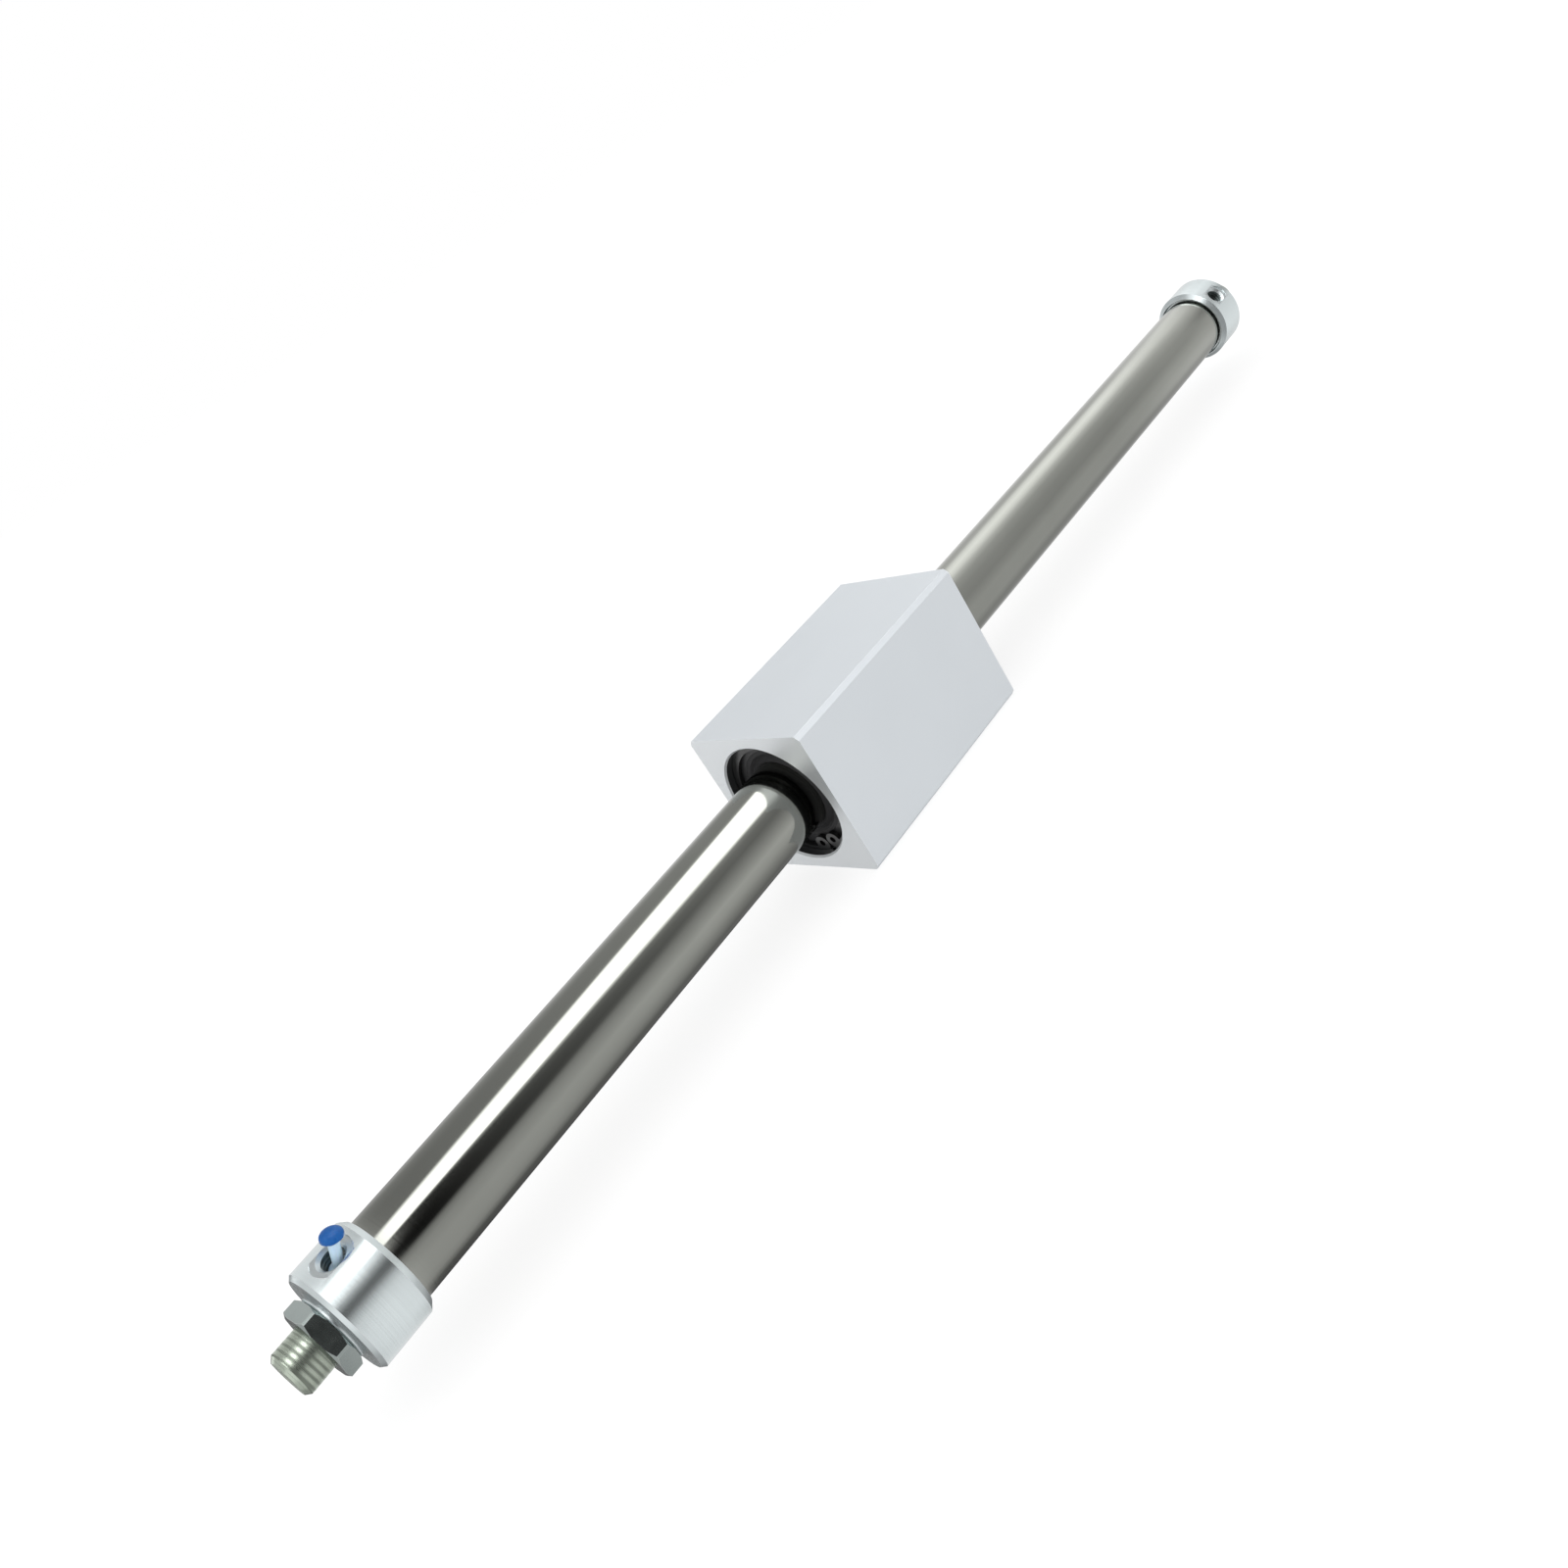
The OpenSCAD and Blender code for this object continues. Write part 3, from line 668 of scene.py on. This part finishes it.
def threaded_block(tree):
    """Slider block with threads in its four mounting holes."""
    bm = copy_of_node("slider_block")
    low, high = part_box("slider_block")
    middle = (low + high) / 2
    along, aside = HOLE_PLACES
    for sx in (-1, 1):
        for sy in (-1, 1):
            floor = Vector((middle.x + sx * along * MM, middle.y + sy * aside * MM, low.z + HOLE_DEPTH * MM))
            cut_thread(
                bm, tree, HOLE_THREAD, floor, (0, 0, -1), (HOLE_DEPTH - HOLE_SINK_DEPTH) * MM,
                hole_wall(HOLE_THREAD))
    return finished_piece("slider_block_threaded", bm, "slider_block", "slider", "block_aluminium")


# Studio

TENT_RADIUS = 1.2
TENT_ENDS = (-1.2, 3.5)
TENT_TOP = 3.0  # brightness of the soft box, where 1 is white
END_DISC_RADIUS = 0.35  # of the bright disc in the card that closes the front end
END_DISC_LIGHT = 0.9
END_CARD_LIGHT = 0.6
BOX_LEAN = 38  # how far the soft box's edge towards +Y drops, in degrees for each metre along X
BOX_MIDDLE = 99  # in degrees from +Y over the top, where that lean ends

# Brightness round the tent, from +Y over the top at 90 degrees, for each stretch of it
LIT_START = [
    (0, 0.5), (50, 0.45), (75, 0.9), (105, 0.9), (130, 0.3), (180, 0.35), (270, 0.25), (330, 0.4), (360, 0.5),
]
LIT_AHEAD = [
    (0, 0.8), (50, 0.3), (74, 0.3), (78, 3.0), (122, 3.0), (126, 0.06), (170, 0.06), (200, 0.25), (280, 0.25),
    (312, 0.4), (342, 1.8), (360, 1.4),
]
LIT_GAP = [(0, 0.16), (360, 0.16)]
LIT_NUT = [
    (0, 0.8), (12, 0.78), (30, 0.74), (45, 0.62), (60, 0.6), (74, 0.74), (88, 1.1), (104, 1.5), (118, 1.4),
    (128, 0.6), (137, 0.1), (146, 0.03), (158, 0.03), (168, 0.25), (182, 0.46), (208, 0.56), (224, 0.56),
    (240, 0.46), (254, 0.4), (268, 0.43), (284, 0.55), (300, 0.72), (320, 0.88), (345, 0.9), (360, 0.82),
]
LIT_COVER = [
    (0, 0.77), (80, 0.76), (95, 0.95), (104, 1.4), (127, 1.4), (139, 0.5), (148, 0.08), (155, 0.08),
    (168, 0.5), (182, 0.78), (200, 0.86), (245, 0.86), (290, 0.74), (360, 0.77),
]
LIT_NEAR = [
    (0, 0.5), (22, 0.35), (50, 0.3), (89, 0.3), (97, 3.0), (118, 3.0), (121, 0.1), (125, 0.01), (161, 0.01),
    (171, 0.38), (182, 0.52), (205, 0.6), (240, 0.58), (256, 0.5), (278, 0.17), (296, 0.11), (324, 0.07),
    (347, 0.46), (360, 0.5),
]
LIT_MIDDLE = [
    (0, 0.8), (44, 0.45), (80, 0.45), (88, 0.6), (93, 3.0), (119, 3.0), (127, 0.5), (138, 0.32), (154, 0.26),
    (168, 0.37), (182, 0.5), (208, 0.76), (228, 0.66), (254, 0.42), (280, 0.24), (296, 0.22), (312, 0.16),
    (326, 0.14), (347, 0.72), (360, 0.8),
]
LIT_FAR = [
    (0, 0.82), (24, 0.72), (38, 0.85), (54, 1.5), (68, 1.75), (82, 1.5), (96, 0.98), (112, 0.66), (138, 0.52),
    (166, 0.47), (200, 0.62), (240, 0.6), (266, 0.42), (290, 0.4), (310, 0.6), (330, 0.82), (360, 0.82),
]
LIT_TAIL = [
    (0, 0.85), (24, 0.95), (38, 1.24), (53, 1.33), (67, 1.29), (81, 1.23), (95, 1.02), (109, 0.84),
    (124, 0.73), (138, 0.65), (152, 0.62), (166, 0.58), (181, 0.65), (195, 0.73), (209, 0.78), (223, 0.85),
    (237, 0.86), (251, 0.8), (266, 0.6), (280, 0.5), (296, 0.48), (312, 0.46), (330, 0.6), (348, 0.8),
    (360, 0.85),
]
LIT_REAR = [
    (0, 0.74), (60, 0.66), (82, 0.76), (108, 0.7), (124, 0.4), (138, 0.22), (152, 0.4), (167, 0.7),
    (240, 0.76), (360, 0.76),
]
# Where along X each stretch takes over from the one before it
TENT_STRETCHES = [
    (-1.0, -0.92, LIT_AHEAD),
    (-0.58, -0.52, LIT_GAP),
    (-0.17, -0.14, LIT_NUT),
    (-0.075, -0.065, LIT_COVER),
    (-0.006, 0.0, LIT_NEAR),
    (0.04, 0.5, LIT_MIDDLE),
    (0.65, 0.95, LIT_FAR),
    (1.48, 1.74, LIT_TAIL),
    (1.79, 1.85, LIT_REAR),
]


def tent_ramp(tree, share, stops):
    """One stretch's brightness round the tent as a ramp, and its output."""
    ramp = add_node(tree, "ShaderNodeValToRGB")
    ramp.color_ramp.interpolation = "LINEAR"
    elements = ramp.color_ramp.elements
    while len(elements) < len(stops):
        elements.new(1.0)
    for element, (angle, level) in zip(elements, stops):
        element.position = angle / 360
        element.color = (*[level / TENT_TOP] * 3, 1)
    tree.links.new(share, ramp.inputs[0])
    return ramp.outputs["Color"]


def tent_material():
    """Light of the tent: a soft box over the top, dark gaps beside it and grey cards round the rest."""
    material = bpy.data.materials.new("studio_tent")
    material.use_nodes = True
    tree = material.node_tree
    tree.nodes.clear()
    place = tree.nodes.new("ShaderNodeTexCoord").outputs["Object"]
    split = add_node(tree, "ShaderNodeSeparateXYZ")
    tree.links.new(place, split.inputs[0])
    angle = add_math(tree, "ARCTAN2", split.outputs[2], split.outputs[1])
    share = add_math(tree, "FRACT", add_math(tree, "ADD", add_math(tree, "DIVIDE", angle, math.tau), 1.0))
    drop = add_range(tree, split.outputs[0], (0, 1), (0, BOX_LEAN / 360))
    below = add_math(tree, "LESS_THAN", share, BOX_MIDDLE / 360)
    leaning = add_math(tree, "ADD", share, add_math(tree, "MULTIPLY", drop, below))
    wall = tent_ramp(tree, share, LIT_START)
    for start, end, stops in TENT_STRETCHES:
        next_share = add_range(tree, split.outputs[0], (start, end), (0, 1))
        around = leaning if stops in (LIT_NEAR, LIT_MIDDLE) else share
        wall = add_mix(tree, next_share, wall, tent_ramp(tree, around, stops))
    inside = add_math(tree, "LESS_THAN", from_axis(tree, place), END_DISC_RADIUS)
    card = add_mix(tree, inside, [END_CARD_LIGHT / TENT_TOP] * 3, [END_DISC_LIGHT / TENT_TOP] * 3)
    end = add_math(tree, "LESS_THAN", split.outputs[0], TENT_ENDS[0] + 0.01)
    light = add_node(tree, "ShaderNodeEmission", {"Strength": TENT_TOP})
    tree.links.new(add_mix(tree, end, wall, card), light.inputs["Color"])
    output = tree.nodes.new("ShaderNodeOutputMaterial")
    tree.links.new(light.outputs[0], output.inputs["Surface"])
    return material


def link_stage(name, mesh):
    """An object of the studio."""
    item = bpy.data.objects.new(name, mesh)
    bpy.context.scene.collection.objects.link(item)
    return item


def raise_tent():
    """A tube round the set that only reflections see, closed at its front end by a card."""
    bm = bmesh.new()
    steps = 72
    angles = [math.tau * i / steps for i in range(steps)]
    rings = []
    for x in TENT_ENDS:
        corners = [(x, TENT_RADIUS * math.cos(a), TENT_RADIUS * math.sin(a)) for a in angles]
        rings.append([bm.verts.new(corner) for corner in corners])
    for i in range(steps):
        j = (i + 1) % steps
        bm.faces.new((rings[0][i], rings[0][j], rings[1][j], rings[1][i]))
    bm.faces.new(rings[0])
    mesh = bpy.data.meshes.new("studio_tent")
    bm.to_mesh(mesh)
    bm.free()
    mesh.materials.append(tent_material())
    tent = link_stage("studio_tent", mesh)
    tent.visible_camera = False
    tent.visible_diffuse = False
    tent.visible_transmission = False
    tent.visible_volume_scatter = False
    tent.visible_shadow = False


FLOOR_REACH = 6.0
FLOOR_DROP = 0.0001  # below the slider's lower face
FLOOR_WHITE = 0.95
FLOOR_LIGHT = 1.1
FLOOR_GLOW = 0.7  # how far the floor's shadows are lifted


def lay_floor():
    """Plain white floor that keeps the object's shadow and isn't seen in reflections."""
    bm = bmesh.new()
    bmesh.ops.create_grid(bm, x_segments=1, y_segments=1, size=FLOOR_REACH)
    mesh = bpy.data.meshes.new("floor")
    bm.to_mesh(mesh)
    bm.free()
    mesh.transform(Matrix.Translation((0, 0, FLOOR_HEIGHT - FLOOR_DROP)))
    material = bpy.data.materials.new("white_floor")
    material.use_nodes = True
    tree = material.node_tree
    tree.nodes.clear()
    paint = add_node(tree, "ShaderNodeBsdfDiffuse", {"Color": (*[FLOOR_WHITE] * 3, 1)})
    glow = add_node(tree, "ShaderNodeEmission", {"Color": (1, 1, 1, 1), "Strength": FLOOR_LIGHT})
    mix = add_node(tree, "ShaderNodeMixShader", {"Fac": FLOOR_GLOW})
    tree.links.new(paint.outputs[0], mix.inputs[1])
    tree.links.new(glow.outputs[0], mix.inputs[2])
    output = tree.nodes.new("ShaderNodeOutputMaterial")
    tree.links.new(mix.outputs[0], output.inputs["Surface"])
    mesh.materials.append(material)
    floor = link_stage("floor", mesh)
    floor.visible_glossy = False


WORLD_LIGHT = 0.92


def light_world():
    """White all round for the camera, reflections and glass, and a softer white for diffuse light."""
    world = bpy.data.worlds.new("studio")
    bpy.context.scene.world = world
    world.use_nodes = True
    tree = world.node_tree
    tree.nodes.clear()
    path = tree.nodes.new("ShaderNodeLightPath").outputs
    direct = add_math(tree, "MAXIMUM", path["Is Camera Ray"], path["Is Glossy Ray"])
    seen = add_math(tree, "MAXIMUM", direct, path["Is Transmission Ray"])
    soft = add_node(tree, "ShaderNodeBackground", {"Color": (1, 1, 1, 1), "Strength": WORLD_LIGHT})
    white = add_node(tree, "ShaderNodeBackground", {"Color": (1, 1, 1, 1), "Strength": 1.0})
    mix = tree.nodes.new("ShaderNodeMixShader")
    tree.links.new(seen, mix.inputs["Fac"])
    tree.links.new(soft.outputs[0], mix.inputs[1])
    tree.links.new(white.outputs[0], mix.inputs[2])
    output = tree.nodes.new("ShaderNodeOutputWorld")
    tree.links.new(mix.outputs[0], output.inputs["Surface"])


LAMP_SIZE = 1.2
# Name, place and power of each lamp
LAMPS = [("lamp_over", (-0.3, 0.4, 1.3), 2.5), ("lamp_front", (-0.5, -1.2, 0.3), 3.6)]


def hang_lamp(name, place, power):
    """A large square lamp aimed at the middle of the object."""
    data = bpy.data.lights.new(name, "AREA")
    data.shape = "SQUARE"
    data.size = LAMP_SIZE
    data.energy = power
    lamp = bpy.data.objects.new(name, data)
    bpy.context.scene.collection.objects.link(lamp)
    lamp.location = place
    lamp.rotation_mode = "QUATERNION"
    lamp.rotation_quaternion = (-Vector(place)).to_track_quat("-Z", "Y")
    lamp.visible_glossy = False


# Making

place_camera()
light_world()
raise_tent()
lay_floor()
for lamp in LAMPS:
    hang_lamp(*lamp)

MATERIALS = make_materials()
for part in frame["record"]["subparts"]:
    mesh = frame["nodes"][part["node"]].data
    mesh.materials.clear()
    mesh.materials.append(MATERIALS[part["material_slot"]])

# dark colour of the port's thread: painted shade inside the port
PORT_SHADE_METAL = turned_finish(
    "port_thread_painted_shade", (0.13, 0.16, 0.16), (0.2, 0.23, 0.23),
    1, (0.36, 0.46), 0.0003, 0.000004)
SPOT_METAL = turned_finish(
    "port_face_aluminium", (0.7, 0.75, 0.76), (0.78, 0.83, 0.84),
    1, (0.34, 0.44), 0.0003, 0.000004)
cover_threads = thread_tree(MATERIALS["cover_aluminium"])
threaded_cover("front_head_cover", cover_threads)
threaded_cover("rear_head_cover", cover_threads)
threaded_block(thread_tree(MATERIALS["block_aluminium"]))

scene = bpy.context.scene
scene.view_settings.view_transform = "Standard"
